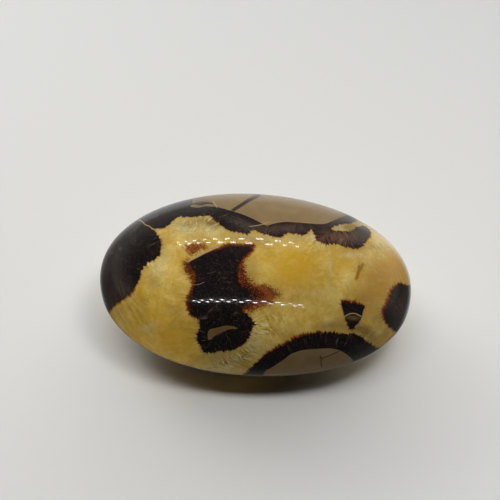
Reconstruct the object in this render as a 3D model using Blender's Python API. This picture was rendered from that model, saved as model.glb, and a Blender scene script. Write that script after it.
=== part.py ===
"""A septarian nodule, ground and polished into one smooth pebble.

The stone is a single natural piece: limestone, brown aragonite and golden calcite grown
together and then polished as one surface, so the model is one solid.  Its plan is a
slightly egg-shaped oval, its section is a full, soft-shouldered lens, and underneath it
has the small flat spot that it rests on.

Units are metres, +Z is up, +X runs along the stone.  The origin is on the surface that
the stone rests on, under the middle of its bounding box.
"""

import math

import bmesh
import bpy
from mathutils import Vector

MM = 0.001

# Driving dimensions
HALF_LENGTH = 38.9 * MM
HALF_WIDTH = 24.4 * MM
CROWN = 17.5 * MM  # height of the top above the widest level
BELLY = 15.0 * MM  # depth of the underside below the widest level
REST_CUT = 0.20 * MM  # how much of the underside the resting flat takes off

# Fullness of the curves: 2 is an ellipse, and more is squarer
PLAN_POWER = 2.07
SECTION_POWER = 2.42

# The plan swells towards its back left shoulder
EGG_SWELL = 0.070
EGG_TOWARDS = math.radians(128)

# Facets of the mesh
MERIDIANS = 80
RINGS = 34

# The finish of a polished septarian surface, as an average over its three minerals
STONE_COLOUR = (0.42, 0.27, 0.075, 1.0)
STONE_ROUGHNESS = 0.12


def clear_scene():
    for item in list(bpy.data.objects):
        bpy.data.objects.remove(item, do_unlink=True)


def plan_radius(azimuth):
    """Distance from the upright axis to the rim of the plan, in the direction azimuth."""
    along = abs(math.cos(azimuth) / HALF_LENGTH) ** PLAN_POWER
    across = abs(math.sin(azimuth) / HALF_WIDTH) ** PLAN_POWER
    oval = (along + across) ** (-1 / PLAN_POWER)
    return oval * (1 + EGG_SWELL * math.cos(azimuth - EGG_TOWARDS))


def section_point(latitude):
    """(share of the plan radius, height above the widest level) at a latitude."""
    power = 2 / SECTION_POWER
    share = abs(math.cos(latitude)) ** power
    rise = abs(math.sin(latitude)) ** power
    return share, CROWN * rise if latitude > 0 else -BELLY * rise


def rest_latitude():
    """The latitude at which the underside reaches the resting flat."""
    depth_share = (BELLY - REST_CUT) / BELLY
    return -math.asin(depth_share ** (SECTION_POWER / 2))


def ring_points(latitude):
    share, height = section_point(latitude)
    points = []
    for step in range(MERIDIANS):
        azimuth = 2 * math.pi * step / MERIDIANS
        radius = share * plan_radius(azimuth)
        points.append(Vector((radius * math.cos(azimuth), radius * math.sin(azimuth), height)))
    return points


def add_ring(mesh, latitude):
    return [mesh.verts.new(point) for point in ring_points(latitude)]


def join_rings(mesh, lower, upper):
    for step in range(MERIDIANS):
        after = (step + 1) % MERIDIANS
        mesh.faces.new((lower[step], lower[after], upper[after], upper[step]))


def close_crown(mesh, ring):
    """Fans the top ring in to a single point at the crown."""
    top = mesh.verts.new((0, 0, CROWN))
    for step in range(MERIDIANS):
        after = (step + 1) % MERIDIANS
        mesh.faces.new((ring[step], ring[after], top))


def stand_on_floor(mesh):
    """Moves the stone so that the middle of its box is over the origin and it rests on z = 0."""
    corners = [
        [pick(vertex.co[axis] for vertex in mesh.verts) for axis in range(3)]
        for pick in (min, max)
    ]
    middle_x = (corners[0][0] + corners[1][0]) / 2
    middle_y = (corners[0][1] + corners[1][1]) / 2
    shift = Vector((-middle_x, -middle_y, -corners[0][2]))
    bmesh.ops.translate(mesh, verts=mesh.verts, vec=shift)


def stone_material():
    material = bpy.data.materials.new("polished septarian stone")
    material.use_nodes = True
    shader = material.node_tree.nodes["Principled BSDF"]
    shader.inputs["Base Color"].default_value = STONE_COLOUR
    shader.inputs["Roughness"].default_value = STONE_ROUGHNESS
    shader.inputs["Metallic"].default_value = 0.0
    return material


def make_nodule():
    """The whole stone: rings from the resting flat up to the crown."""
    mesh = bmesh.new()
    lowest = rest_latitude()
    step = (math.pi / 2 - lowest) / RINGS
    rings = [add_ring(mesh, lowest + step * level) for level in range(RINGS)]
    for lower, upper in zip(rings, rings[1:]):
        join_rings(mesh, lower, upper)
    close_crown(mesh, rings[-1])
    mesh.faces.new(reversed(rings[0]))
    bmesh.ops.triangulate(mesh, faces=mesh.faces[:])
    stand_on_floor(mesh)

    data = bpy.data.meshes.new("septarian_nodule")
    mesh.to_mesh(data)
    mesh.free()
    data.shade_smooth()
    data.materials.append(stone_material())
    nodule = bpy.data.objects.new("septarian_nodule", data)
    bpy.context.scene.collection.objects.link(nodule)
    return nodule


clear_scene()
make_nodule()
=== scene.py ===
# %% [markdown]
# # A polished septarian nodule
#
# A septarian nodule began as a ball of lime mud that shrank and cracked.  Brown aragonite grew
# on the walls of the cracks, and golden calcite then filled what was left of them.  This one was
# ground and polished into a pebble, so it is a single smooth stone whose markings are a slice
# through those three minerals.
#
# The lesson builds the smooth form with Geometry Nodes, draws the mineral zones on it as
# outlines in millimetres, measures how far each point of the surface is from the nearest crack
# wall, and lets one procedural material grow the minerals out from those walls.

import math

import bmesh
import bpy
import numpy as np
from mathutils import Matrix, Vector
from mathutils.kdtree import KDTree


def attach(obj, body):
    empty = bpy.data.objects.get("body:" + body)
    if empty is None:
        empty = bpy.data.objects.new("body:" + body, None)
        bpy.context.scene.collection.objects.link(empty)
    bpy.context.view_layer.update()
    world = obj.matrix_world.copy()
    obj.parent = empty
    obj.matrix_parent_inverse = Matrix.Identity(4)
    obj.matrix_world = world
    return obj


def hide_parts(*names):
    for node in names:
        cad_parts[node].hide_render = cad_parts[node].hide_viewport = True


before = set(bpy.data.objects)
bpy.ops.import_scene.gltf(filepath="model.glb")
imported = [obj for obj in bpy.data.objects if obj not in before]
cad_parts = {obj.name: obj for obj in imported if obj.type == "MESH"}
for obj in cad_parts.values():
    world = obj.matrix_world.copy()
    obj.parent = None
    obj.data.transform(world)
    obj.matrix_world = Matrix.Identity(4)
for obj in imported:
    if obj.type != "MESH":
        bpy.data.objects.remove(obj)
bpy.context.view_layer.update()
MM = 0.001

# %% [markdown]
# ## Small helpers for node trees
#
# Geometry trees and materials are both node trees, and both get long when every node takes four
# lines.  `build_in` names the tree that is being made.  `put` then adds one node to it, feeds
# its inputs in order with values or with other nodes' outputs, and hands back the output that
# the next node needs.  With it a tree reads like a formula.  The other way is to lay the nodes
# out by hand in the editor, which suits a tree that an artist tweaks but not one whose parts
# repeat.

# %% Node helpers
building = {}  # the tree that the helpers add to


def build_in(tree):
    building["tree"] = tree
    return tree


def feed(place, value):
    """Links an input to another node's output, or sets its own value.  None leaves it alone."""
    if isinstance(value, bpy.types.NodeSocket):
        building["tree"].links.new(value, place)
    elif value is not None:
        place.default_value = value


def feed_named(node, values):
    for name, value in values.items():
        feed(node.inputs[name], value)


def put(kind, *values, out=0, **settings):
    """Adds a node, makes its settings, feeds its inputs and returns one of its outputs."""
    node = building["tree"].nodes.new(kind)
    for name, value in settings.items():
        setattr(node, name, value)
    for place, value in zip(node.inputs, values):
        feed(place, value)
    return node.outputs[out]


def calc(operation, *values):
    return put("ShaderNodeMath", *values, operation=operation)


def times(first, second):
    return calc("MULTIPLY", first, second)


def plus(first, second):
    return calc("ADD", first, second)


def times_plus(first, second, added):
    return calc("MULTIPLY_ADD", first, second, added)


def centred(value):
    """A value from 0 to 1, such as noise, made to swing evenly about 0."""
    return calc("SUBTRACT", value, 0.5)


def vector_calc(operation, *values, out=0):
    return put("ShaderNodeVectorMath", *values, operation=operation, out=out)


def scaled(vector, amount):
    """A vector times an amount, or a colour made lighter or darker."""
    return vector_calc("SCALE", vector, None, None, amount)


def split(vector):
    """The three shares of a vector."""
    return put("ShaderNodeSeparateXYZ", vector).node.outputs


def step_up(value, low, high, to_low=0.0, to_high=1.0):
    """Runs smoothly from to_low to to_high as the value goes from low to high."""
    kind = "ShaderNodeMapRange"
    return put(kind, value, low, high, to_low, to_high, interpolation_type="SMOOTHSTEP")


def mix_colours(share, first, second):
    """Blends from the first colour to the second as the share goes from 0 to 1."""
    others = [None] * 5  # the inputs for other kinds of mix, which come before the colours
    return put("ShaderNodeMix", share, *others, first, second, data_type="RGBA", out=2)


# %% [markdown]
# ## The pebble's form
#
# Grinding on a wheel leaves a pebble whose curves are fuller than an ellipse's.  A
# superellipse says that with one number, its power: 2 is an ellipse, and more is squarer.  The
# plan has one power and the upright section another, and the plan swells a little towards one
# shoulder, like an egg.
#
# Sculpting or a subdivided cage would give a similar lump.  A rule is better here, because the
# real stone was shaped by a machine and every highlight on its polish shows a dent of a tenth
# of a millimetre.  Geometry Nodes push the points of a cube's grid out to the rule's surface,
# which spreads them more evenly than a globe's meridians do.

# %% The form's measures, as the solid has them
FORM = {
    "Half Length": 38.9 * MM,
    "Half Width": 24.4 * MM,
    "Crown": 17.5 * MM,
    "Belly": 15.0 * MM,
    "Rest Cut": 0.2 * MM,
    "Plan Power": 2.07,
    "Section Power": 2.42,
    "Egg Swell": 0.07,
    "Egg Towards": math.radians(128),
}
GRID = 127  # points along each edge of the cube's grid
TINY = 1e-6  # keeps a division by a length from failing at the axis


# %% The form's node tree


def plan_radius(size, across, along, reach):
    """How far the plan's rim is from the axis, in the direction of a point."""
    cosine = calc("DIVIDE", along, reach)
    sine = calc("DIVIDE", across, reach)
    terms = []
    for share, half in ((cosine, size["Half Length"]), (sine, size["Half Width"])):
        term = calc("ABSOLUTE", calc("DIVIDE", share, half))
        terms.append(calc("POWER", term, size["Plan Power"]))
    root = calc("DIVIDE", -1.0, size["Plan Power"])
    oval = calc("POWER", plus(*terms), root)
    towards = size["Egg Towards"]
    lean = times(cosine, calc("COSINE", towards))
    lean = times_plus(sine, calc("SINE", towards), lean)
    swell = times_plus(lean, size["Egg Swell"], 1.0)
    return times(oval, swell)


def form_tree(material):
    tree = build_in(bpy.data.node_groups.new("pebble_form", "GeometryNodeTree"))
    for name in FORM:
        tree.interface.new_socket(name, in_out="INPUT", socket_type="NodeSocketFloat")
    tree.interface.new_socket("Geometry", in_out="OUTPUT", socket_type="NodeSocketGeometry")
    given = put("NodeGroupInput").node.outputs
    size = {name: given[name] for name in FORM}

    cube = put("GeometryNodeMeshCube", (2.0, 2.0, 2.0), GRID, GRID, GRID)
    even = scaled(put("GeometryNodeInputPosition"), math.pi / 4)
    even = vector_calc("NORMALIZE", vector_calc("TANGENT", even))
    stretch = put("ShaderNodeCombineXYZ", size["Half Length"], size["Half Width"], size["Crown"])
    aimed = vector_calc("NORMALIZE", vector_calc("MULTIPLY", even, stretch))

    along, across, rise = split(aimed)
    reach = vector_calc("LENGTH", vector_calc("MULTIPLY", aimed, (1, 1, 0)), out="Value")
    reach = calc("MAXIMUM", reach, TINY)
    rim = plan_radius(size, across, along, reach)
    above = calc("GREATER_THAN", rise, 0.0)
    tall = calc("SUBTRACT", size["Crown"], size["Belly"])
    tall = times_plus(tall, above, size["Belly"])
    power = size["Section Power"]
    out_term = calc("POWER", calc("DIVIDE", reach, rim), power)
    up_term = calc("ABSOLUTE", calc("DIVIDE", rise, tall))
    total = plus(out_term, calc("POWER", up_term, power))
    scale = calc("POWER", total, calc("DIVIDE", -1.0, power))
    surface = scaled(aimed, scale)

    lowest = calc("SUBTRACT", size["Rest Cut"], size["Belly"])
    floor_point = put("ShaderNodeCombineXYZ", -1.0, -1.0, lowest)
    surface = vector_calc("MAXIMUM", surface, floor_point)

    moved = put("GeometryNodeSetPosition", cube, None, surface)
    moved = put("GeometryNodeSetShadeSmooth", moved)
    real = put("GeometryNodeRealizeInstances", moved)
    done = put("GeometryNodeSetMaterial", real, None, material)
    tree.links.new(done, tree.nodes.new("NodeGroupOutput").inputs[0])
    return tree


# %% Grow the stone from the tree


def add_object(name, data):
    thing = bpy.data.objects.new(name, data)
    bpy.context.scene.collection.objects.link(thing)
    return thing


def grow_form(name, material):
    """Runs the tree and returns its result as a plain mesh that stands on z = 0."""
    holder = add_object(name + "_form", bpy.data.meshes.new(name + "_form"))
    modifier = holder.modifiers.new("pebble form", "NODES")
    modifier.node_group = form_tree(material)
    for socket in modifier.node_group.interface.items_tree:
        if socket.in_out == "INPUT":
            modifier[socket.identifier] = FORM[socket.name]
    seen = holder.evaluated_get(bpy.context.evaluated_depsgraph_get())
    mesh = bpy.data.meshes.new_from_object(seen)
    mesh.name = name
    bpy.data.objects.remove(holder)
    points = read_vectors(mesh.vertices, "co")
    low, high = points.min(0), points.max(0)
    middle = (low + high) / 2
    mesh.transform(Matrix.Translation((-middle[0], -middle[1], -low[2])))
    return mesh


def read_vectors(items, field):
    values = np.empty(len(items) * 3, np.float32)
    items.foreach_get(field, values)
    return values.reshape(-1, 3).astype(float)


polish = bpy.data.materials.new("polished_septarian")
stone = add_object("polished_nodule", grow_form("polished_nodule", polish))
mesh = stone.data
place = read_vectors(mesh.vertices, "co") / MM
print("the stone has", len(mesh.polygons), "faces")
print("it measures", np.ptp(place, axis=0).round(2), "mm")

# %% [markdown]
# ## The camera comes before the markings
#
# The markings were drawn as on a clear sheet held up between the camera and the stone, so the
# camera is settled first.  It looks down at the stone from 50 degrees above the horizon and a
# little from the right, through a 100 mm lens, and every outline below is in millimetres right
# and up of the middle of its picture.

# %% The camera
LENS = 100.0
SENSOR = 36.0
PICTURE = 125.0  # the picture's width at the stone, in mm
AZIMUTH = math.radians(5.0)
ELEVATION = math.radians(50.0)
AIM = np.array((-1.81, 5.87, 21.07))  # what the middle of the picture looks at, in mm
DISTANCE = PICTURE * LENS / SENSOR

right = np.array((math.cos(AZIMUTH), math.sin(AZIMUTH), 0.0))
level = math.cos(ELEVATION)
back = np.array((math.sin(AZIMUTH) * level, -math.cos(AZIMUTH) * level, math.sin(ELEVATION)))
up = np.cross(back, right)
eye = AIM + back * DISTANCE


def add_camera():
    lens = bpy.data.cameras.new("camera")
    lens.lens = LENS
    lens.sensor_width = SENSOR
    lens.clip_start = 0.01
    camera = add_object("camera", lens)
    camera.location = eye * MM
    camera.rotation_euler = Matrix((right, up, back)).transposed().to_euler()
    bpy.context.scene.camera = camera


add_camera()
print("the camera is", round(DISTANCE), "mm from the stone")

# %% [markdown]
# ## Where each point of the stone falls on the sheet
#
# A point's place on the sheet is found by following the line from the camera through it.  The
# stone's far side falls on the same part of the sheet, so each point also gets its facing: the
# cosine between its normal and the line of sight, which is negative out of the camera's sight.


# %% Points on the sheet


def on_sheet(points):
    """Where points in mm fall on the sheet, in mm right and up of its middle."""
    away = points - eye
    depth = -(away @ back)
    return np.stack((away @ right, away @ up), 1) * (DISTANCE / depth)[:, None]


sheet = on_sheet(place)
sight = eye - place
normals = read_vectors(mesh.vertex_normals, "vector")
facing = (normals * sight).sum(1) / np.linalg.norm(sight, axis=1)
hidden = np.maximum(0.0, -facing)
print("on the sheet the stone is", np.ptp(sheet, axis=0).round(1), "mm")

# %% [markdown]
# ## The outlines of the minerals
#
# The brown aragonite lies as dark bands and lobes, and the grey-brown limestone as clean-edged
# windows inside them.  Each outline is a smooth curve through listed points, and a point given
# twice makes a corner.  The saw teeth and specks of the edges are left to the material, so the
# outlines need only the slow bends.
#
# Outlines that run past the stone's rim carry on round it: there the zone follows the sight
# line through the stone, as a real vein does, and closes up on the far side.

# %% Dark zones, with the limestone that they enclose
DARK = {
    "left end and upper band": (
        (-37.4, -20.1), (-35.6, -16.6), (-34.6, -14.9), (-33.4, -13.6), (-32.1, -12.8), (-29.6, -11),
        (-28.9, -9.8), (-27.6, -7.4), (-27.2, -5.6), (-26.4, -4.1), (-25.1, -3), (-23.9, -2.5),
        (-22.9, -1.6), (-22.2, -0.1), (-22.1, 1.1), (-22.4, 2.4), (-23.4, 4.3), (-24.6, 5.5),
        (-24.6, 5.5), (-22.9, 5.3), (-21.6, 5.6), (-20.6, 6.1), (-19.4, 7.2), (-18.4, 8), (-17.4, 8.4),
        (-14.9, 8.2), (-11.6, 8.6), (-10.4, 8.6), (-9.4, 8.1), (-7.1, 6.1), (-5.9, 5.1), (-4.4, 4.6),
        (-0.9, 4.1), (0.1, 4.6), (1.1, 5.1), (2.1, 4.4), (3.6, 3.9), (7.1, 3.1), (8.4, 3.5), (8.9, 4.2),
        (10.9, 4.1), (12.6, 3.9), (14.1, 4.1), (15.1, 4.9), (15.9, 4.9), (16.1, 3.9), (16.6, 2.6),
        (18.9, 1.5), (21.4, 1.6), (24.1, 0.6), (27.1, 0.4), (28.4, 1.1), (29.1, 2.4), (30.1, 3.4),
        (29.9, 4.9), (28.9, 5.9), (27.6, 6.1), (26.4, 5.6), (25.1, 4.8), (22.1, 4.8), (19.9, 5.2),
        (19.9, 5.2), (21.2, 5.9), (22.8, 6.4), (24.9, 6.6), (26.4, 7.1), (27.6, 8.4), (29, 12), (18, 18),
        (-10, 20), (-34, 16), (-43, 4), (-42, -14),
    ),
    "middle body": (
        (-7.9, 0.5), (-6.4, 1.2), (-4.4, 1.6), (0.4, 1.6), (1.1, 1.1), (0.9, 0.1), (0.1, -0.9),
        (-0.9, -1.9), (-1.8, -3.1), (-2.2, -4.6), (-2.5, -6.6), (-2.1, -8.4), (-1.1, -9.4),
        (-0.2, -10.6), (-0.4, -12.6), (-1.4, -15.4), (-0.4, -16.1), (0.5, -17.1), (0.9, -18.4),
        (0.6, -19.6), (-0.4, -22.1), (-1.4, -23.4), (-2.9, -24.4), (-4.9, -25.1), (-9.1, -25.6),
        (-10.9, -25.8), (-11.9, -25.1), (-13.2, -22.6), (-13.1, -21.1), (-12.6, -19.6), (-12.6, -18.1),
        (-13, -17.1), (-14.4, -16.8), (-15.4, -15.6), (-15.9, -13.9), (-15.6, -11.9), (-14.5, -8.6),
        (-14.1, -7.1), (-14.4, -5.4), (-15.2, -4.4), (-15.6, -3.2), (-14.6, -2.5), (-12.9, -1.6),
        (-9.1, 0.1),
    ),
    "small wedge": (
        (22.9, -13.4), (23.1, -12.6), (24.4, -12.5), (27.9, -13.4), (28.8, -14.1), (28.2, -15.4),
        (27.9, -16.9), (27.1, -18.1), (25.6, -20), (24.9, -19.6), (24.1, -18.1), (23.1, -14.6),
    ),
    "right end": (
        (35.6, -9.6), (36.4, -8.6), (37.9, -8.4), (39.6, -8.8), (42.6, -9.1), (45.1, -12.6),
        (41.4, -21.4), (37.6, -20.9), (36.1, -20.4), (34.1, -18.4), (33, -15.9), (33.1, -14.6),
        (33.9, -13.6), (34.8, -11), (35.1, -10.1),
    ),
    "lower arch": (
        (-2.4, -32.1), (-0.9, -30.5), (1.6, -28.1), (4.4, -25.6), (6.4, -24.5), (10.1, -22.5),
        (12.1, -21.5), (13.9, -20.9), (17.6, -20.5), (20.1, -20.4), (23.9, -21), (25.6, -20.8),
        (27.1, -21.2), (28.4, -22.1), (31.1, -24.1), (33.4, -25.4), (32.1, -29.6), (18, -36), (-1, -35),
    ),
}

# %% Windows of limestone
LIMESTONE = {
    "upper window": (
        (-14.4, 12), (-13.1, 12), (-11.6, 12.1), (-10.1, 11.9), (-9.1, 11.6), (-8.4, 10.9), (-6.1, 10.2),
        (-2.4, 9.1), (0.1, 8.1), (2.1, 7.1), (4.2, 6), (4.2, 6), (5.6, 6.5), (7.6, 6.9), (10.1, 7),
        (16.4, 6.5), (18.9, 6.6), (20.9, 7.4), (23.9, 8.6), (25.6, 9.1), (25.1, 12.4), (12.6, 18),
        (-2.4, 19), (-12.4, 17),
    ),
    "thin sliver": (
        (-14.9, 10.9), (-14.1, 11.4), (-12.4, 11.2), (-10.9, 11.5), (-9.6, 11.5), (-8.5, 10.9),
        (-9.9, 10.9), (-11.4, 10.9), (-13.1, 10.6),
    ),
    "lower window": (
        (3.6, -30.6), (5.1, -29.6), (8.4, -27.4), (10.1, -26.1), (11.9, -25.4), (13.4, -25),
        (18.9, -24.6), (21.4, -24.8), (22.6, -25.2), (24.1, -26), (25.1, -26.9), (25.6, -28.1),
        (23.9, -33.6), (12.6, -36.1), (3.1, -34.9),
    ),
    "crescent": (
        (-10.2, -22.6), (-10.6, -21.6), (-10.5, -20.5), (-10, -19.8), (-8.9, -19.6), (-7.4, -19.2),
        (-5.9, -18.9), (-4.1, -19.1), (-2.6, -19.8), (-2.6, -19.8), (-4.4, -19.7), (-5.9, -20.1),
        (-7.4, -20.8), (-8.9, -21.6),
    ),
}

# %% [markdown]
# ## The far side and the underside
#
# The stone has to look true from every side, so the part that the camera can't see has zones of
# its own.  They are drawn on a second sheet, held on the far side of the stone and seen from
# behind and below.  Each limestone block gets a lining of aragonite, as every real block has.

# %% Zones on the far side, in mm right and up of the stone's middle as seen from there
FAR_BLOCKS = {
    "resting block": (
        (-15, -9), (-12.5, -2.5), (-4, -0.5), (4.5, -2), (7.5, -7.5), (4, -13.5), (-6, -15.5),
        (-12.5, -13.5),
    ),
    "back block": (
        (3, 8.5), (6, 12), (13, 11.5), (19, 8.5), (18, 4), (12, 2), (6, 3.5),
    ),
    "side block": (
        (15.5, -8), (17.5, -4.5), (23.5, -3.5), (27, -6.5), (24.5, -11.5), (18.5, -12.5),
    ),
}
FAR_DARK = {
    "far lobe": (
        (-27, 1), (-25, 6), (-20, 7.5), (-15, 5.5), (-13.5, 3), (-17, 1), (-19, -2), (-23, -3),
    ),
    "belly vein": (
        (-17, -16.8), (-8, -19.4), (2, -20.6), (12, -19.4), (20, -17), (26, -13.4), (24, -9.5),
        (17, -12.5), (8, -14.6), (-4, -15.4), (-12, -14.6),
    ),
}
LINING = 2.6  # thickness of the aragonite on a block, in mm
CLOSE_UP = 15.0  # how fast a zone closes up past the rim, in mm as the facing falls by 1
FAR_OFF = 99.0  # a distance in mm that stands for nowhere near
RIM_FADE = 8  # how fast linings come and patches go past the rim, as the facing falls
SLIVER = 0.01  # in mm, how far a lining of no thickness falls short of its block


# %% Curves and signed distances


def smooth_curve(points, steps=6):
    """A closed curve through the points, with a corner where one is given twice."""
    points = np.array(points, float)
    before, after, later = (np.roll(points, shift, axis=0) for shift in (1, -1, -2))
    curve = []
    for p0, p1, p2, p3 in zip(before, points, after, later):
        if np.allclose(p1, p2):
            continue
        leave = (p2 - p0) / 2 * (not np.allclose(p0, p1))
        arrive = (p3 - p1) / 2 * (not np.allclose(p2, p3))
        for t in np.arange(steps) / steps:
            near, far = (1 + 2 * t) * (1 - t) ** 2, t * t * (3 - 2 * t)
            curve.append(near * p1 + far * p2 + t * (1 - t) ** 2 * leave - t * t * (1 - t) * arrive)
    return np.array(curve)


def signed_distance(points, outline):
    """Distance in mm from each point to a closed curve, negative inside it."""
    nearest = np.full(len(points), np.inf)
    inside = np.zeros(len(points), bool)
    for start, end in zip(outline, np.roll(outline, -1, axis=0)):
        edge = end - start
        away = points - start
        share = np.clip(away @ edge / (edge @ edge), 0, 1)
        gap = away - share[:, None] * edge
        nearest = np.minimum(nearest, (gap * gap).sum(1))
        spans = (start[1] > points[:, 1]) != (end[1] > points[:, 1])
        if spans.any():
            inside ^= spans & (away[:, 0] < away[:, 1] * edge[0] / edge[1])
    return np.sqrt(nearest) * np.where(inside, -1, 1)


NEARBY = 4.0  # past this distance in mm from an outline's box only its sign matters


def zone_distance(points, outlines):
    """Signed distance to the nearest of several zones, measured only near each of them."""
    nearest = np.full(len(points), FAR_OFF)
    for outline in outlines.values():
        curve = smooth_curve(outline)
        low, high = curve.min(0) - NEARBY, curve.max(0) + NEARBY
        near = ((points > low) & (points < high)).all(1)
        nearest[near] = np.minimum(nearest[near], signed_distance(points[near], curve))
    return nearest


# %% Random bends for the edges that the camera can't see
WOBBLE = 1.3  # in mm
WAVES = 8
WAVE_LENGTHS = (9, 20)  # in mm


def waves(points, seed):
    """Smooth random values of about -1 to 1: a sum of waves in random directions."""
    chance = np.random.default_rng(seed)
    total = np.zeros(len(points))
    for _ in range(WAVES):
        heading = chance.normal(size=3)
        heading /= np.linalg.norm(heading) * chance.uniform(*WAVE_LENGTHS)
        total += np.sin(2 * np.pi * (points @ heading + chance.uniform()))
    return total / 2


# %% Zones on the near side, carried round the rim, and zones on the far side
far_sheet = np.stack((-(place @ right), place @ up), 1)
far_sheet -= (far_sheet.min(0) + far_sheet.max(0)) / 2
seen_side = FAR_OFF * (facing > 0)
out_of_sight = np.clip(hidden * 5, 0, 1)  # from 0 at the rim to 1 well past it

bends = WOBBLE * waves(place, 4) * out_of_sight
near_lime = zone_distance(sheet, LIMESTONE) + CLOSE_UP * hidden + bends
near_dark = zone_distance(sheet, DARK) + CLOSE_UP * hidden + bends
near_lining = near_lime - LINING * np.clip(hidden * RIM_FADE, 0, 1) + SLIVER
far_lime = zone_distance(far_sheet, FAR_BLOCKS) + seen_side
far_dark = np.minimum(far_lime - LINING, zone_distance(far_sheet, FAR_DARK) + seen_side)

lime = np.minimum(near_lime, far_lime)
dark = np.minimum.reduce((near_dark, near_lining, far_dark))
print("limestone lies on", round(100 * (lime < 0).mean()), "% of the points")
print("aragonite lies on", round(100 * ((dark < 0) & (lime > 0)).mean()), "% of them")

# %% [markdown]
# ## Measure from the crack walls
#
# Aragonite and calcite are needles that grew straight out from the walls of the cracks.  So
# the material needs two things at every point: how far the nearest wall is, and which spot of
# the wall that is.  A pattern that depends on the spot alone runs straight out from the wall,
# and one that also changes slowly with the distance makes needles.
#
# The walls are where a zone's signed distance passes through zero.  Those crossings are found
# on every face of the mesh, and a k-d tree then finds the nearest one to each vertex.

# %% The walls, and the nearest spot on them
SPOTS = (0.125, 0.375, 0.625, 0.875)  # where a crossing's spots lie, as shares of its length


def wall_points(values, corners):
    """Points in mm along the line where the values pass through zero."""
    found = []
    sides = values[corners] < 0
    crossed = sides != np.roll(sides, -1, axis=1)
    for face in corners[crossed.sum(1) == 2]:
        ends = []
        for first, second in zip(face, np.roll(face, -1)):
            a, b = values[first], values[second]
            if (a < 0) != (b < 0):
                ends.append(place[first] + (place[second] - place[first]) * a / (a - b))
        found += [ends[0] + (ends[1] - ends[0]) * share for share in SPOTS]
    return found


def nearest_wall(values, corners):
    """(signed distance, nearest spot on the wall) of every vertex, in mm."""
    spots = wall_points(values, corners)
    tree = KDTree(len(spots))
    for index, spot in enumerate(spots):
        tree.insert(spot, index)
    tree.balance()
    found = [tree.find(point) for point in place]
    distance = np.array([hit[2] for hit in found]) * np.where(values < 0, -1, 1)
    return distance, np.array([hit[0] for hit in found])


corners = np.empty(len(mesh.loops), np.int32)
mesh.loops.foreach_get("vertex_index", corners)
corners = corners.reshape(-1, 4)
dark_depth, dark_wall = nearest_wall(dark, corners)
lime_depth = nearest_wall(lime, corners)[0]
print("the calcite is up to", dark_depth.max().round(1), "mm from a wall")

# %% [markdown]
# ## Seams, rust and tints
#
# The finest markings are healed cracks: pale threads of calcite, mostly across the dark zones,
# dark threads across the limestone, and amber streaks in the calcite.  Each is a line with a
# half width.  In places iron has stained the aragonite's rim, and in three spots the stain has
# spread out into the calcite, where it gets an outline of its own.  The calcite is amber in some
# places and milky in others.  Those are soft patches, which need only a middle, two radii, a
# turn and a strength.

# %% Threads, as a half width in mm and the points of a line
PALE_THREADS = (
    (0.11, ((-28, 7.6), (-27, 7.2), (-26.2, 6.3), (-25.2, 6), (-24.4, 5.3), (-23.4, 5))),
    (0.2, ((-15.4, -2.8), (-13.2, -1.7), (-11, -0.5), (-9.2, 0.3), (-8, 0.8))),
    (0.14, ((-9.1, 12), (-8.4, 10.9))),
    (0.1, ((0.1, 5.9), (1.6, 6.1), (3.1, 6.4), (4.4, 6.9))),
    (0.05, ((-13.7, -8.7), (-12.8, -8.6), (-11.8, -8.2))),
    (0.11, ((18.9, -18.7), (21.4, -17.6), (23.7, -16.6))),
    (0.15, ((23.7, -16.6), (24.7, -16), (25.7, -15.8), (26.7, -16), (27.9, -16.7))),
    (0.07, ((27.9, -16.7), (30.6, -16.9), (33, -16.4))),
)
DARK_THREADS = (
    (0.45, ((-4.3, 9.9), (-2.4, 11.1), (-0.4, 12.4), (2.2, 13.7))),
    (0.1, ((17.6, -26.6), (17.9, -29.1))),
    (0.1, ((17.9, -27.1), (19.9, -26.4), (22.1, -25.4))),
)
AMBER_THREADS = (
    (0.4, ((28.2, -3.6), (27.7, -4.6), (27, -5.8), (26.6, -7.2))),
    (0.3, ((27.2, -4), (27.1, -5.4))),
)

FAR_PALE_THREADS = (
    (0.16, ((-27, 4.5), (-23, 3.4), (-19, 4.2), (-15.5, 3.6))),
    (0.1, ((-14.5, -10), (-10, -8.6), (-5, -9.2))),
    (0.12, ((19.5, 6), (23, 7.4), (27.5, 7))),
)
FAR_AMBER_THREADS = (
    (0.3, ((-3, 12), (-4.2, 10.4), (-4.6, 8.6))),
    (0.24, ((11, -9.5), (12.4, -10.8), (13, -12.6))),
)
FAR_DARK_THREADS = (
    (0.16, ((-12, -4), (-7, -7.4), (-3.5, -12), (-3, -15))),
    (0.1, ((-7, -7.4), (-1, -7), (5, -8.6))),
    (0.12, ((8.5, 3.5), (10.5, 7), (13.5, 9.5), (14, 11.5))),
    (0.1, ((19, -5), (21, -8.5), (24.5, -9.5))),
)

# %% Where iron has spread out into the calcite
RUST = {
    "tongue": (
        (-2, -2.6), (-1.2, -4.4), (-0.6, -6.4), (0.6, -7.9), (3.2, -8.7), (5.4, -9.7), (7, -11.1),
        (6.1, -12.4), (4.6, -13.5), (1.8, -14.6), (0, -15.3), (-1.4, -15), (-2.2, -12.6), (-2.8, -8.6),
        (-3.2, -5.4),
    ),
    "flank": (
        (-15.6, -2.3), (-16.4, -3), (-16.4, -4.5), (-15.7, -6.2), (-14.8, -7.8), (-14.2, -8.6),
        (-13.9, -5.5), (-14.8, -3.2),
    ),
    "speck patch": (
        (-15.9, 0.4), (-15, 1.3), (-13.4, 1.8), (-12, 1.5), (-11.1, 0.7), (-12.1, -0.2), (-13.6, -0.8),
        (-14.6, -1.3), (-15.5, -0.7),
    ),
}
FAR_RUST = {
    "far stain": ((-15, 3.5), (-12.5, 4.5), (-10.5, 2.5), (-12, 0.5), (-15, 0.5)),
}
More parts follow.
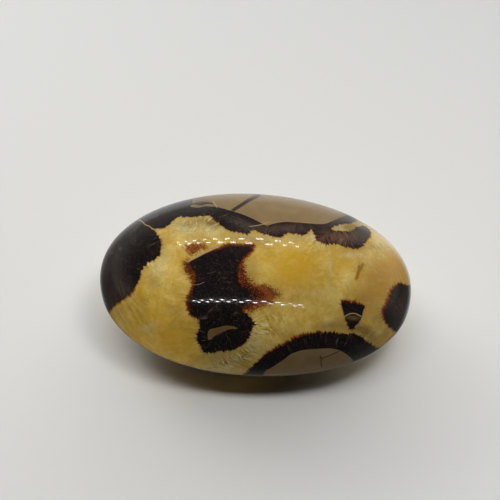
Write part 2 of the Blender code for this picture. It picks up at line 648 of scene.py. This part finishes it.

# %% Soft patches, as (right, up, radius along, radius across, turn in degrees, strength)
# Some patches paint light: sheen on the aragonite's rims, glints on its needles, a glow in clearer
# calcite and one highlight in the milk.
PATCHES = {
    # the width in mm of the rusty rim on the aragonite
    "rust": (
        (-15, -4.2, 2.8, 2, 70, 0.55), (-13.8, -7, 2.2, 1.4, 70, 0.7), (-14.6, -10.5, 1.2, 4, 0, 0.5),
        (17, -20.5, 3, 0.8, 0, 0.3), (-15, -13, 3.4, 1.4, 100, 0.9), (-2.4, -5.5, 3.6, 1.6, 100, 0.9),
        (-0.6, -2, 2.2, 1.4, 60, 0.8), (-5.6, 1, 5, 1.4, 5, 1.1), (-33, -13.5, 4, 1.2, 30, 0.5),
        (-29.5, -10.5, 2, 1.2, 30, 0.6), (34.2, -13, 1.4, 4, -10, 1.3), (36, -8.8, 2, 0.8, 10, 0.5),
        (0, 0.6, 2.2, 1.4, 0, 0.6), (-0.6, -10, 1.6, 3, 0, 0.5), (-3, -15, 3, 1.2, 0, 0.5),
        (8, -23.6, 5, 1.2, 28, 0.7), (12.5, -21.4, 2.6, 0.8, 10, 0.6), (26, -12.8, 2.8, 0.8, -8, 0.7),
        (-0.6, -22.5, 2, 1, 60, 0.2),
    ),
    # brown, see-through aragonite
    "russet": (
        (19.5, 3.3, 4.2, 1.7, 5, 0.8), (24, 3, 3.6, 2, 0, 0.9), (8, 5.4, 10, 1.2, 2, 0.5),
        (-33, -11, 3.5, 4.5, 0, 0.35), (39, -15, 3, 4, 0, 0.3),
    ),
    # dull, greyed aragonite with a poorer polish, and painted sheen where the rims catch the light
    "haze_and_sheen": (
        (-37, -3, 2.6, 11, -22, 1), (-24, 12, 9, 2, 28, 0.5), (37, -14.5, 2.6, 4, 0, 0.7),
        (28, 3.6, 3, 2.2, 0, 1.3), (23.2, 7.8, 4.5, 1.2, 12, 1.3), (-12.5, 11.4, 4.5, 1.8, 5, 0.45),
        (-2.5, 7, 4, 1.2, -15, 0.8), (8, 5.2, 9, 1.2, 0, 0.5),
    ),
    # see-through aragonite under the seam of the wedge
    "tan": ((25.8, -17, 1.8, 0.55, 0, 0.9),),
    # limestone that is darker and warmer
    "dusk": (
        (-6, -20.5, 5.5, 2.4, 0, 1.2), (14, -28, 10, 4, 0, 0.1), (-12, 11.7, 3.6, 1, 0, 1),
    ),
    # edges that broke clean, without teeth
    "clean": (
        (23.4, -15.4, 0.7, 2.4, 12, 1), (28.3, -15.8, 0.8, 2.2, -12, 1), (23.5, 5.6, 3.6, 0.8, 8, 0.8),
        (-12, -1.4, 3.6, 0.8, 25, 1), (-12, 11.2, 4, 0.9, 0, 0.7),
    ),
    # long fibres in the calcite
    "fibre": (
        (-28, -16, 8, 6, -40, 1), (-19, -16, 6, 9, 0, 1), (-14, -24.5, 6, 5, 0, 0.8),
        (-2, -27, 7, 3, 20, 0.9), (31, 1, 5, 4, -30, 0.6), (19.5, -3, 2, 5, 5, 0.7),
        (33, -20, 5, 4, 0, 0.7), (5, -19, 6, 3, 10, 0.4),
    ),
    # bright needles among the others
    "sparkle": (
        (-6, -28.6, 3.6, 1.6, 10, 1.2), (-1.5, -26, 3, 2.2, 30, 1.3), (-25.4, -3.8, 1, 1.6, -30, 0.8),
        (-25, -20.4, 2.4, 0.9, 0, 0.9), (4, -19, 5, 2.6, 10, 1.2), (21.5, -9, 2.6, 3.2, 0, 0.15),
        (17, 2.8, 3, 2, 20, 0.7), (33, 1.5, 2, 4, -30, 0.3), (-14, 5.5, 6, 2.4, 0, 0.4),
        (-10, 7.6, 2.2, 1, -30, 1),
    ),
    # the width in mm of the greyish rim that clean aragonite has in the calcite
    "fringe": (
        (-8.5, -27, 4.5, 2.4, 5, 3.4), (-13.4, -20.5, 1.2, 4, 0, 0.5), (-22.6, 2, 1.6, 4, 0, 0.8),
        (-15, 7.6, 8, 1.6, 10, 0.4), (-3, 4.6, 6, 1, -15, 0.9), (22, 1.6, 4, 1.2, 0, 0.8),
        (31, -22, 4, 1.2, -38, 0.8), (14, 3.8, 6, 1, 0, 0.5),
    ),
    # pale needles in the aragonite, partly painted glints where needles catch the light
    "frost_and_glints": (
        (-9.5, -23.2, 3.6, 2, 0, 1), (-12, -19.5, 1, 3, 0, 0.5), (-9, -17.3, 4, 0.8, 0, 0.4),
        (12, -23.5, 5, 1, 20, 0.45), (22, -22.5, 4, 1.2, -5, 0.4), (27, 3.6, 3, 1.6, 0, 1),
        (18.5, 2.8, 3, 1, 0, 0.5), (-24.5, 3, 1.5, 3, 0, 0.4), (-6, -13, 6, 1, 0, 0.3),
        (-11, 8.9, 3.4, 0.9, -15, 1.3), (24.5, 2, 2.6, 1.4, 0, 1.2),
    ),
    "amber": (
        (10.5, -5.5, 6, 5, 20, 1), (12.5, -1.5, 5, 4, 0, 0.5), (-20.5, -21.5, 7, 5, -30, 0.8),
        (-14.5, -22, 3, 5, 0, 0.5), (-27.5, -10.3, 1.6, 1, 80, 0.9), (27.4, -5.8, 1.8, 0.6, 70, 1.6),
        (23.5, -2.5, 4, 3.5, 0, 0.6), (37.5, -4, 2.5, 3, 0, 0.5), (-24.5, -14.5, 2.5, 5, -25, 0.4),
    ),
    # clearer calcite, with a painted glow of light passing through it, so it looks brighter
    "clear_glow": (
        (-22, -12, 8, 13, -10, 0.4), (-19, -25, 12, 5, -20, 0.6), (35, 0, 5, 8, 25, 0.15),
        (8, -4, 9, 5, 0, 0.17), (-30, -19.5, 3.5, 8, 38, 0.5), (4, -18.5, 6, 4, 0, 0.24),
        (23.5, -7.3, 2.4, 2.8, -10, 0.36), (12.5, -16.6, 6, 2.4, 0, 0.24), (31.5, -19.6, 2.4, 2, 0, 0.1),
        (20, -17.8, 2, 1.2, 0, 0.12), (-21, -27, 9, 2.2, -18, 0.16),
    ),
    # milky calcite; the patch at (15, -11) is a painted highlight, a smear beside the lower row of lamp
    # dots
    "milk_and_highlight": (
        (-16, 5.6, 3.4, 1.8, 0, 0.85), (-10, 5.8, 3, 2, -30, 0.8), (-22.5, -3.5, 2, 3.6, -20, 0.5),
        (-25.2, -19, 2, 0.8, 20, 0.3), (-7, -30, 5, 1, -5, 0.4), (19.9, -4, 0.7, 4, 5, 0.3),
        (1, 3, 4, 1, 0, 0.5), (12.5, 3, 4, 0.8, 0, 0.4), (24, -7.4, 1.6, 2, 0, 0.35),
        (17, 3.6, 2, 3, 20, 0.4), (23, 5.8, 2.6, 0.9, 8, 1.3), (25, -1.2, 2.6, 1, 0, 0.5),
        (33, 2.5, 3, 3.5, -30, 0.6), (-4, -28, 3, 1.6, 30, 0.5), (0.5, -22.5, 2.6, 3.5, 40, 0.5),
        (28, -1.5, 2, 3, 20, 0.2), (15, -11, 3, 1, -15, 0.2),
    ),
    "peach": (
        (32.5, -6, 4.5, 6.5, 0, 1), (29.5, -13, 3, 4, 0, 0.7), (38, -4.5, 2.5, 4, 0, 0.8),
    ),
    "smoke": (
        (20.5, -18.8, 3.6, 1.2, 8, 0.9), (-8.5, -27.6, 4, 1.6, 0, 0.5), (-3, -27, 4, 1.6, 20, 0.45),
        (-24, -8, 1.2, 2.4, 30, 0.3), (0, 2.8, 6, 1, -5, 0.6), (-0.3, -7, 2.2, 2.6, 0, 0.35),
        (29.4, -20.8, 3, 1.2, -38, 1), (26.5, -19.8, 3.5, 1.2, 0, 0.8), (27.8, -12, 1.6, 1, 0, 0.5),
        (32.6, -17, 1.4, 2.6, 0, 0.4), (-13.6, 7, 6, 1.4, 8, 0.9), (22.4, 5.4, 2.2, 0.8, 8, 0.3),
        (25.2, 5.5, 1.8, 0.9, 0, 1.3), (12.5, 3, 4, 0.8, 0, 0.4), (-8.6, 6.4, 1.6, 1.4, -30, 0.5),
        (27, 0.5, 5, 1, 5, 0.6), (-21.5, 0, 1, 3, 0, 0.4), (-9.4, 6.8, 1.8, 1.4, -30, 0.7),
        (26.8, 6.8, 2.6, 0.9, 10, 1), (21.5, 5.6, 2.4, 0.7, 10, 0.5), (0.4, -4.2, 1.6, 3.4, 0, 0.35),
    ),
}


# %% Measure the threads and patches at every vertex
ONLY_NEAR = ("tan", "clean")  # kinds of patch that the far side has none of
REACH = 1.0  # how far from a thread in mm its distance still matters
TIP_FADE = 0.4  # how far a thread fades out past its ends, in mm


def thread_distance(points, threads):
    """(signed distance as a share of the half width, whether a thread is near)."""
    best = np.full(len(points), FAR_OFF)
    share = np.full(len(points), FAR_OFF)
    near = np.zeros(len(points))
    for half, line in threads:
        line = np.array(line, float)
        for index, (start, end) in enumerate(zip(line, line[1:])):
            edge = (end - start) / np.linalg.norm(end - start)
            away = points - start
            along = away @ edge
            side = away[:, 0] * edge[1] - away[:, 1] * edge[0]
            before = np.maximum(0, -along) * (index == 0)
            past = np.maximum(0, along - np.linalg.norm(end - start))
            tip = before + past * (index == len(line) - 2)
            gap = np.hypot(side, np.maximum(np.maximum(-along, 0), past))
            better = gap < best
            best = np.where(better, gap, best)
            share = np.where(better, side / half, share)
            near = np.where(better, np.clip(1.2 - tip / TIP_FADE, 0, 1), near)
    return share, near * (best < REACH)


def patch_strength(patches):
    total = np.zeros(len(sheet))
    for across, rise, long_radius, short_radius, turn, strength in patches:
        away = sheet - (across, rise)
        cosine, sine = math.cos(math.radians(turn)), math.sin(math.radians(turn))
        along = (away[:, 0] * cosine + away[:, 1] * sine) / long_radius
        aside = (away[:, 1] * cosine - away[:, 0] * sine) / short_radius
        total += strength * np.exp(-(along**2 + aside**2))
    return total * np.clip(facing * RIM_FADE + 1, 0, 1)


def far_patches(seed, patches):
    """Random soft patches of a usual strength, for the side that the camera can't see."""
    usual = np.median([patch[-1] for patch in patches])
    return usual * np.clip(waves(place, seed) - 0.3, 0, 1) * out_of_sight


def keep(name, values):
    """Stores one number or vector for each vertex, for the material to read."""
    kind, field = ("FLOAT", "value") if values.ndim == 1 else ("FLOAT_VECTOR", "vector")
    layer = mesh.attributes.new(name, kind, "POINT")
    layer.data.foreach_set(field, values.astype(np.float32).ravel())


NEAR_SIDE, FAR_SIDE = 0.02, -0.1  # the facing that the near and far side's threads start from
STAIN_RANGE = 5.0  # how deep into or far from a stain is told apart, in mm

keep("dark_depth", dark_depth)
keep("dark_wall", dark_wall)
keep("lime_depth", lime_depth)
near_rust = zone_distance(sheet, RUST) + CLOSE_UP * hidden
far_rust = zone_distance(far_sheet, FAR_RUST) + seen_side
keep("stain_depth", np.clip(np.minimum(near_rust, far_rust), -STAIN_RANGE, STAIN_RANGE))
for seed, (kind, patches) in enumerate(PATCHES.items(), start=20):
    spread = 0.0 if kind in ONLY_NEAR else far_patches(seed, patches)
    keep(kind, patch_strength(patches) + spread)
for kind, threads, far_threads in (
    ("pale_thread", PALE_THREADS, FAR_PALE_THREADS),
    ("dark_thread", DARK_THREADS, FAR_DARK_THREADS),
    ("amber_thread", AMBER_THREADS, FAR_AMBER_THREADS),
):
    share, near = thread_distance(sheet, threads)
    far_share, far_near = thread_distance(far_sheet, far_threads)
    keep(kind, np.where(facing > NEAR_SIDE, share, far_share))
    keep(kind + "_near", np.where(facing > NEAR_SIDE, near, far_near * (facing < FAR_SIDE)))
print("the vertices carry", len(mesh.attributes), "layers")

# %% [markdown]
# ## The stone's material
#
# One polished surface crosses three minerals, so the stone has one material.  It works out a
# colour for each mineral, and lets the measured distances choose between them.  Separate
# materials on separate faces would cut the zones along mesh edges, and the real edges are finer
# than any face here.


# %% Material helpers


def paint(red, green, blue):
    """A colour as seen on screen, from 0 to 255, turned into the linear values that nodes use."""
    shares = (value / 255 for value in (red, green, blue))
    return (*((s / 12.92 if s <= 0.04045 else ((s + 0.055) / 1.055) ** 2.4) for s in shares), 1.0)


def layer(name, out="Fac"):
    """What the mesh's points carry under a name: Fac reads a number and Vector a place."""
    return put("ShaderNodeAttribute", attribute_name=name, out=out)


def noise(where, scale, detail=2.0, rough=0.5, slow=None, warp=0.0):
    """Cloudy noise from 0 to 1.  With slow, the noise also changes with that number."""
    size = "3D" if slow is None else "4D"
    values = (where, slow, scale, detail, rough, None, None, None, warp)
    return put("ShaderNodeTexNoise", *values, noise_dimensions=size)


def cover(colour, *tints):
    """Lays tints over a colour in turn, each as (amount, red, green, blue), whole at 1."""
    for amount, *tint in tints:
        colour = mix_colours(calc("MINIMUM", amount, 1.0), colour, paint(*tint))
    return colour


def needles(wall, depth, width, length, detail=2.0):
    """Streaks that run straight out from the walls, of a width and a length in mm."""
    slow = times(depth, width / length)
    return noise(wall, 0.5 / width, detail, 0.6, slow=slow)


# %% Calcite


def calcite_colour(where, wall, depth):
    """Honey-coloured fibres that grew out from the dark walls, clouded with milk and amber, and one
    painted highlight in the milk.
    """
    fans = needles(wall, depth, 1.1, 7.0, 3)
    clouds = noise(where, 0.2, 5, 0.65)
    golden, straw = paint(183, 147, 59), paint(209, 180, 96)
    light = times_plus(fans, 0.3, times(clouds, 0.7))
    colour = mix_colours(step_up(light, 0.38, 0.66), golden, straw)

    own_amber = step_up(noise(where, 0.09, 3, 0.55, slow=7.0), 0.5, 0.72, 0, 0.5)
    ragged = step_up(noise(where, 1.0, 5, 0.75, warp=0.5), 0.35, 0.65, 0.35, 1.15)
    own_milk = step_up(noise(where, 0.2, 4, 0.6, slow=3.0), 0.52, 0.75, 0, 0.6)
    own_milk = times(own_milk, step_up(layer("peach"), 0.0, 0.7, 1.0, 0.1))
    veil = step_up(clouds, 0.35, 0.65, 0.7, 1.0)
    colour = cover(
        colour,
        (plus(own_amber, layer("amber")), 188, 146, 40),
        (layer("peach"), 180, 138, 66),
        (times(own_milk, ragged), 208, 184, 112),
        # milky calcite, and one painted highlight
        (times(layer("milk_and_highlight"), ragged), 203, 195, 148),
        (times(layer("smoke"), veil), 136, 111, 54),
    )
    return calcite_texture(where, wall, depth, colour)


# %% The texture of the calcite


def calcite_texture(where, wall, depth, colour):
    """Long fibres in places, fine grains elsewhere, a painted glow in the clearer calcite, and a scatter
    of bright needles.
    """
    calm = plus(layer("amber"), layer("peach"))
    lively = step_up(calm, 0.0, 1.2, 1.0, 0.25)
    fibrous = times_plus(layer("fibre"), 1.2, 0.12)
    fibres = centred(needles(wall, depth, 0.4, 8.0, 3))
    fibres = times(fibres, times(fibrous, lively))
    grains = centred(noise(where, 1.3, 4, 0.7))
    grains = times(grains, times(lively, 0.5))
    dust = centred(noise(where, 4.0, 2, 0.6))
    shade = times_plus(dust, 0.35, plus(fibres, grains))
    shade = plus(shade, 1.0)
    # painted glow: the clearer calcite is made brighter, as light passing through it would make it
    shade = times(shade, plus(layer("clear_glow"), 1.0))
    colour = scaled(colour, shade)

    bright = needles(wall, depth, 0.15, 1.2, 2)
    gaps = times(step_up(bright, 0.46, 0.36), layer("sparkle"))
    glints = times(step_up(bright, 0.52, 0.64), times_plus(layer("sparkle"), 0.85, 0.1))
    return cover(colour, (times(gaps, 0.6), 98, 76, 34), (glints, 226, 212, 156))


# %% The rim of the calcite


def calcite_rim(where, wall, edge, rust, colour):
    """Greyish needle tips beside a clean wall, and rust beside a stained one."""
    tips = centred(needles(wall, edge, 0.2, 1.6, 2))
    width = plus(layer("fringe"), 0.3)
    ragged_edge = times_plus(tips, 2.4, edge)
    near = step_up(ragged_edge, width, -0.1)
    unstained = times(near, step_up(rust, 0.5, 0.1))

    specks = centred(noise(where, 3.4, 2, 0.7))
    glow = step_up(ragged_edge, rust, -0.2)
    spread = times_plus(specks, 3.0, edge)
    rim = step_up(spread, times(rust, 0.55), 0.0)
    colour = cover(
        colour,
        (times(unstained, 0.6), 150, 134, 92),
        (times(glow, 0.55), 150, 92, 34),
        (times(rim, 0.9), 122, 60, 20),
    )
    return rust_stain(wall, edge, specks, colour)


def rust_stain(wall, edge, specks, colour):
    """The spots where iron has spread: dark beside the wall, and orange further out."""
    spikes = needles(wall, edge, 0.22, 2.0, 2)
    stain = times_plus(specks, 4.0, layer("stain_depth"))
    stain = times_plus(centred(spikes), -2.6, stain)
    outer = times_plus(edge, 0.6, layer("stain_depth"))
    deep = mix_colours(step_up(outer, -2.0, -0.1), paint(44, 20, 14), paint(98, 40, 15))
    deep = mix_colours(step_up(outer, -0.4, 1.3), deep, paint(146, 77, 28))
    dark_tips = step_up(spikes, 0.46, 0.58, 0.0, 0.5)
    dark_tips = times(dark_tips, step_up(edge, 2.4, 5.0))
    deep = mix_colours(dark_tips, deep, paint(50, 20, 12))
    dark_specks = times(step_up(specks, -0.02, -0.14), 0.75)
    deep = mix_colours(dark_specks, deep, paint(40, 19, 14))
    deep = mix_colours(step_up(specks, 0.05, 0.18), deep, paint(156, 88, 32))
    halo = times(step_up(stain, 1.4, -0.2), 0.5)
    colour = cover(colour, (halo, 150, 96, 36))
    return mix_colours(step_up(stain, 0.35, -0.45), colour, deep)


# %% Aragonite


def aragonite_colour(where, wall, depth, edge, rust):
    """Almost black brown, with a rusty rim in places, pale needle tips and painted glints, and a grey
    haze that is partly a poorer polish and partly painted sheen.
    """
    black, brown = paint(19, 14, 14), paint(44, 29, 25)
    mottle = noise(where, 0.7, 4, 0.65)
    colour = mix_colours(step_up(mottle, 0.48, 0.8), black, brown)
    streaks = needles(wall, depth, 0.22, 2.0, 3)
    haze_sheen_mottle = step_up(noise(where, 1.1, 4, 0.75), 0.35, 0.65, 0.3, 0.75)
    patchy = step_up(noise(where, 0.5, 2, 0.5, slow=5.0), 0.5, 0.62, 0.05, 0.3)
    patchy = plus(patchy, layer("frost_and_glints"))
    # pale needle tips, partly painted glints
    tips = times(step_up(streaks, 0.56, 0.68), patchy)
    colour = cover(
        colour,
        (times(layer("russet"), step_up(streaks, 0.36, 0.6, 0.2, 1.15)), 102, 72, 56),
        # grey haze: a poorer polish, and painted sheen along the rims
        (times(layer("haze_and_sheen"), haze_sheen_mottle), 80, 70, 58),
        (times(layer("tan"), step_up(streaks, 0.3, 0.6, 0.45, 1.0)), 124, 98, 58),
        (times(tips, 0.6), 132, 117, 96),
    )
    # painted glints: pale specks where the needles catch the light
    painted_glints = step_up(noise(where, 4.2, 2, 0.7, slow=2.0), 0.54, 0.72, 0.0, 0.45)
    colour = mix_colours(painted_glints, colour, paint(100, 86, 76))
    return aragonite_rim(where, edge, rust, colour)


def aragonite_rim(where, edge, rust, colour):
    """The thin rusty rim, which fades where the rust goes on into the calcite."""
    grain = noise(where, 2.6, 3, 0.7)
    width = times(plus(rust, 0.12), step_up(grain, 0.25, 0.75, 0.4, 1.8))
    share = calc("DIVIDE", times(edge, -1.0), width)
    share = plus(share, step_up(layer("stain_depth"), -0.4, -1.8))
    rim = mix_colours(step_up(share, 0.0, 0.5), paint(118, 56, 18), paint(84, 34, 12))
    rim = mix_colours(step_up(share, 0.3, 0.9), rim, paint(48, 20, 12))
    return mix_colours(step_up(share, 0.6, 1.3), rim, colour)


# %% Limestone


def limestone_colour(where):
    """Fine taupe mudstone with faint cloudiness and pale dust."""
    cloud = noise(where, 0.25, 4, 0.6)
    colour = mix_colours(cloud, paint(113, 91, 55), paint(149, 123, 81))
    colour = cover(colour, (layer("dusk"), 112, 84, 50))
    dust = step_up(noise(where, 5.0, 2, 0.6), 0.3, 0.75, 0.92, 1.08)
    return scaled(colour, dust)


# %% The finished surface
EDGE_BLUR = 0.08  # half the width in mm over which a clean edge changes colour
GLOSS = {"IOR": 1.56, "Coat Weight": 0.3, "Coat Roughness": 0.16}


def toothed_edge(where, wall, depth):
    """The depth with saw teeth, which are the ends of needles at the aragonite's face."""
    edge = depth
    teeth = step_up(layer("clean"), 0.0, 0.8, 1.0, 0.1)
    for wave, size in (
        (noise(wall, 0.6, 1, 0.5), 0.5),
        (needles(wall, depth, 0.3, 3.0, 2), 1.3),
        (needles(wall, depth, 0.13, 1.5, 1), 1.5),
        (noise(where, 3.5, 2, 0.6), 0.6),
    ):
        tooth = times(centred(wave), teeth)
        edge = times_plus(tooth, size, edge)
    return edge


def finish_stone(material):
    material.use_nodes = True
    tree = build_in(material.node_tree)
    where = scaled(put("ShaderNodeTexCoord", out="Object"), 1 / MM)
    wall = layer("dark_wall", out="Vector")
    depth = layer("dark_depth")
    rust = layer("rust")
    edge = toothed_edge(where, wall, depth)
    blur = times_plus(layer("haze_and_sheen"), 0.25, EDGE_BLUR)
    is_dark = step_up(edge, blur, times(blur, -1.0))
    grain = centred(noise(where, 3.0, 2, 0.6))
    lime_edge = times_plus(grain, 0.15, layer("lime_depth"))
    is_lime = step_up(lime_edge, 0.06, -0.06)

    # calcite needles bend a little, and more so the further they are from their wall
    bend = put("ShaderNodeTexNoise", where, None, 0.12, 1.0, out="Color")
    bend = vector_calc("SUBTRACT", bend, (0.5, 0.5, 0.5))
    curved = vector_calc("ADD", wall, scaled(bend, times(depth, 0.6)))
    colour = calcite_colour(where, curved, depth)
    colour = calcite_rim(where, wall, edge, rust, colour)
    dark = aragonite_colour(where, wall, depth, edge, rust)
    colour = mix_colours(is_dark, colour, dark)
    colour = mix_colours(is_lime, colour, limestone_colour(where))

    for name, tint, strength in (
        ("pale_thread", paint(176, 152, 108), 0.8),
        ("dark_thread", paint(42, 29, 23), 0.95),
        ("amber_thread", paint(134, 94, 32), 0.75),
    ):
        aside = calc("ABSOLUTE", layer(name))
        line = times(step_up(aside, 1.3, 0.6), layer(name + "_near"))
        colour = mix_colours(times(line, strength), colour, tint)

    rough = times_plus(is_lime, 0.22, 0.04)
    dull = times(layer("haze_and_sheen"), is_dark)
    rough = times_plus(dull, 0.3, rough)
    surface = {"Base Color": colour, "Roughness": rough, **GLOSS}
    feed_named(tree.nodes["Principled BSDF"], surface)


finish_stone(polish)
print("the material has", len(polish.node_tree.nodes), "nodes")

# %% [markdown]
# ## A pale table and soft light
#
# The stone stands on a plain white sheet in a small light box.  Two rows of little lamps in the
# box's roof are mirrored in the polish as rows of dots.  The soft light falls from above and a
# little from behind, so the front of the stone is dim and its shadow comes forward.
#
# Each kind of light does one thing here: the strips overhead give the crown its modelling, a
# panel at the back left rounds the left end, one wide sun lights the whole sheet evenly, and
# the back wall fills the shadow.  The dots are lamps that only mirrors see, so their number
# and place can follow the picture while the shadow stays as it is.

# %% Table
TABLE_RADIUS = 1.5  # in metres
TABLE_FINISH = {
    "Base Color": (0.80, 0.797, 0.778, 1.0), "Roughness": 0.8, "Specular IOR Level": 0.2,
}


def add_table():
    shape = bmesh.new()
    bmesh.ops.create_circle(shape, cap_ends=True, segments=96, radius=TABLE_RADIUS)
    data = bpy.data.meshes.new("table")
    shape.to_mesh(data)
    shape.free()
    finish = bpy.data.materials.new("table_paper")
    finish.use_nodes = True
    feed_named(finish.node_tree.nodes["Principled BSDF"], TABLE_FINISH)
    data.materials.append(finish)
    table = add_object("table", data)
    table.visible_glossy = False


add_table()

# %% Lamps
LAMP_ROWS = (
    # middle of the row, half its length, how far its middle stands behind its ends, power
    ((-46, 158, 215), 72, 0, 0.001),
    ((-14, -112, 215), 88, 26, 0.0024),
)
LAMPS_PER_ROW = 20
LAMP_SIZE = (5.2, 2.5)
ZIGZAG = 5.5  # how far every other lamp stands before or behind its row
FADING = (0.85, 0.25)  # the share of the power at a row's middle, and its fall to the right

SOFT_LIGHTS = (
    # name, middle, size, power, aim
    ("strip", (10, -45, 500), (420, 75), 0.65),
    ("side_strip", (160, -45, 480), (160, 75), 0.45),
    ("panel", (-280, 220, 220), (200, 150), 0.36, (0, 0, 10)),
)
SUN_SPREAD, SUN_POWER = math.radians(90), 0.94
SUN_TURN = (math.radians(-35), math.radians(-1), 0.0)


def add_lamp(name, middle, size, power, aim=None):
    """A flat lamp, with its place and size in mm.  It faces down, or towards its aim."""
    lamp = bpy.data.lights.new(name, "AREA")
    lamp.shape = "RECTANGLE"
    lamp.size, lamp.size_y = (side * MM for side in size)
    lamp.energy = power
    holder = add_object(name, lamp)
    holder.location = Vector(middle) * MM
    if aim:
        turn = (Vector(aim) - Vector(middle)).to_track_quat("-Z", "Y")
        holder.rotation_euler = turn.to_euler()
    return holder


def add_lamp_rows():
    """Rows of little lamps that the polish mirrors.  They add no light of their own."""
    for row, (middle, half, bow, power) in enumerate(LAMP_ROWS):
        for index in range(LAMPS_PER_ROW):
            share = 2 * index / (LAMPS_PER_ROW - 1) - 1
            offset = (half * share, bow * (1 - share**2) + ZIGZAG * (-1) ** index, 0)
            place = Vector(middle) + Vector(offset)
            faded = power * (FADING[0] - FADING[1] * share)
            lamp = add_lamp(f"lamp_{row}_{index}", place, LAMP_SIZE, faded)
            lamp.visible_diffuse = False


def add_glow():
    """One wide sun, from behind the stone and above it."""
    sun = bpy.data.lights.new("glow", "SUN")
    sun.angle, sun.energy = SUN_SPREAD, SUN_POWER
    glow = add_object("glow", sun)
    glow.rotation_euler = SUN_TURN
    return glow


add_lamp_rows()
soft_lights = [add_lamp(*values) for values in SOFT_LIGHTS] + [add_glow()]
for light in soft_lights:
    light.visible_glossy = False
print("the table is lit by", len(soft_lights), "soft lights")

# %% Pale walls and an open front, as the world
BACK_WALL = 4.6  # how bright the back wall is as a light
BACKDROP = (0.70, 0.70, 0.69, 1.0)  # what the camera sees past the table
WALLS = (0.23, 0.225, 0.195, 1.0)
ROOF = (0.04, 0.04, 0.04, 1.0)
ROOM = (0.02, 0.02, 0.02, 1.0)
SHADED_SHEET = (0.07, 0.07, 0.065, 1.0)
LIT_SHEET = (0.61, 0.62, 0.62, 1.0)


def add_world():
    """Pale walls, a dim roof and the dark room beyond the open front.

    As a light only the back wall counts.  What the polish mirrors is dimmer, and has all walls.
    Across, along and height are the sight line's shares to the right, to the back and up.
    """
    world = bpy.data.worlds.new("light box")
    bpy.context.scene.world = world
    world.use_nodes = True
    tree = build_in(world.node_tree)
    across, along, height = split(put("ShaderNodeTexCoord", out="Generated"))
    beyond = times(step_up(along, 0.3, 0.65), step_up(height, -0.92, -0.78))
    straight = step_up(calc("ABSOLUTE", across), 0.8, 0.3)
    sheet = mix_colours(times(beyond, straight), SHADED_SHEET, LIT_SHEET)
    mirrored = mix_colours(step_up(height, -0.1, 0.1), sheet, WALLS)
    mirrored = mix_colours(step_up(height, 0.15, 0.6), mirrored, ROOF)
    mirrored = mix_colours(step_up(along, -0.1, -0.6), mirrored, ROOM)
    low = step_up(height, 0.7, -0.1, 0.0, BACK_WALL)
    light = times(low, step_up(along, 0.3, 0.9))
    ray = put("ShaderNodeLightPath").node.outputs
    colour = mix_colours(ray["Is Glossy Ray"], light, mirrored)
    colour = mix_colours(ray["Is Camera Ray"], colour, BACKDROP)
    feed_named(tree.nodes["Background"], {"Color": colour})
    bpy.context.scene.view_settings.view_transform = "Standard"


add_world()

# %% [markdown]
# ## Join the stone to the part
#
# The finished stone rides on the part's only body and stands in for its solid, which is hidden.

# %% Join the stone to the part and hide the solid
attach(stone, "root")
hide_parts("septarian_nodule")
